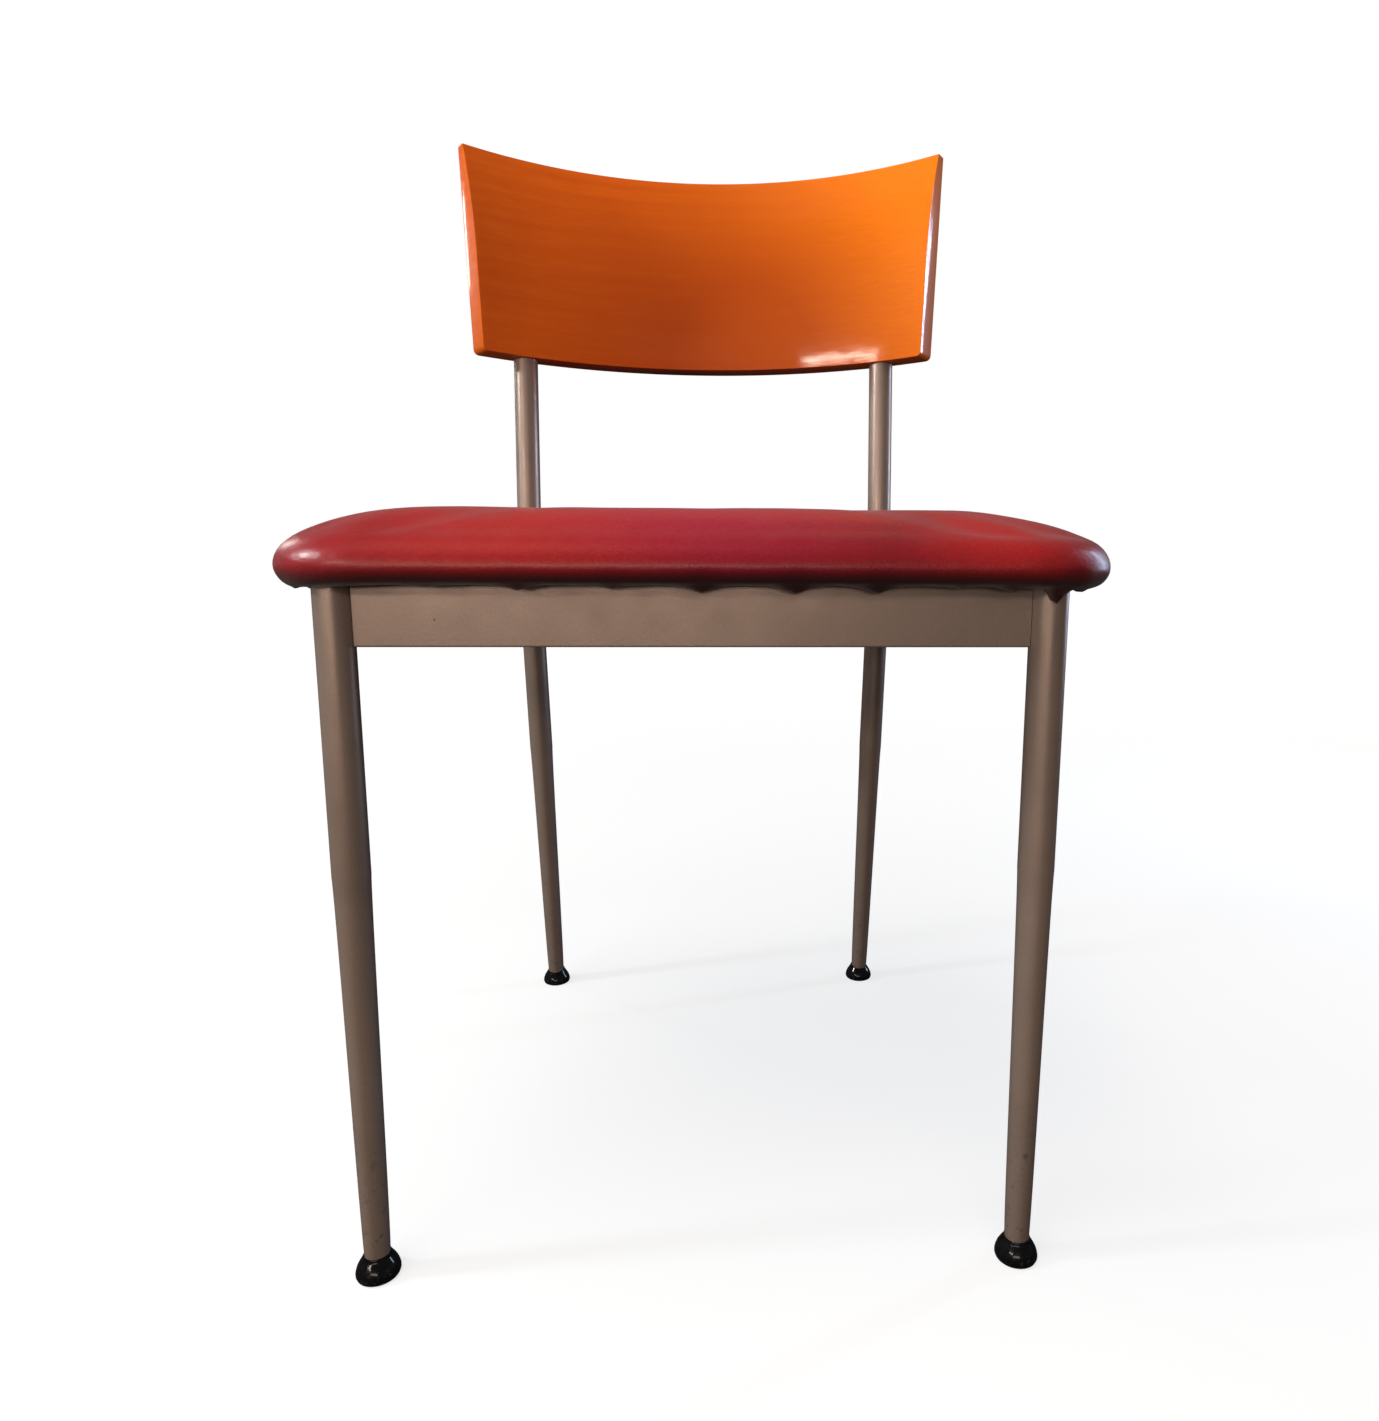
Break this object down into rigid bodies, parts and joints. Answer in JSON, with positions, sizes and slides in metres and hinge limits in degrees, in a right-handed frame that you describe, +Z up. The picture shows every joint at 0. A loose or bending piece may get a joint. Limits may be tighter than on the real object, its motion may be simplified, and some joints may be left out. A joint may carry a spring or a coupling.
{
  "type": "stacking chair",
  "caption": "Stacking chair with a welded tapered-tube frame, an upholstered seat pad and a curved wooden backrest on two uprights.",
  "frame": {"origin": "on the floor, in the middle of the chair's footprint", "axes": "+Z up, +Y towards the back of the chair, +X to the right of someone who faces the chair's front"},
  "size_m": [0.4629, 0.4674, 0.7675],
  "materials": {
    "frame_paint": "satin metallic grey-brown enamel",
    "glide_plastic": "gloss",
    "seat_leatherette": "semi-gloss grained leatherette",
    "foam": "open cell foam",
    "plywood": "raw",
    "dust_cloth": "non-woven cloth",
    "fastener_zinc": "zinc plated",
    "backrest_lacquer": "gloss clear lacquer over orange stain"
  },
  "bodies": {
    "root": {"backrest": "backrest_lacquer", "bottom_cloth": "dust_cloth", "front_rail": "frame_paint", "left_back_screw": "fastener_zinc", "left_front_glide": "glide_plastic", "left_front_leg": "frame_paint", "left_front_seat_plate": "frame_paint", "left_front_seat_screw": "fastener_zinc", "left_front_seat_washer": "fastener_zinc", "left_front_tee_nut": "fastener_zinc", "left_rear_glide": "glide_plastic", "left_rear_leg": "frame_paint", "left_rear_seat_plate": "frame_paint", "left_rear_seat_screw": "fastener_zinc", "left_rear_seat_washer": "fastener_zinc", "left_rear_tee_nut": "fastener_zinc", "left_side_rail": "frame_paint", "left_spigot": "fastener_zinc", "rear_rail": "frame_paint", "right_back_screw": "fastener_zinc", "right_front_glide": "glide_plastic", "right_front_leg": "frame_paint", "right_front_seat_plate": "frame_paint", "right_front_seat_screw": "fastener_zinc", "right_front_seat_washer": "fastener_zinc", "right_front_tee_nut": "fastener_zinc", "right_rear_glide": "glide_plastic", "right_rear_leg": "frame_paint", "right_rear_seat_plate": "frame_paint", "right_rear_seat_screw": "fastener_zinc", "right_rear_seat_washer": "fastener_zinc", "right_rear_tee_nut": "fastener_zinc", "right_side_rail": "frame_paint", "right_spigot": "fastener_zinc", "seat_board": "plywood", "seat_cover": "seat_leatherette", "seat_foam": "foam"}
  },
  "joints": []
}
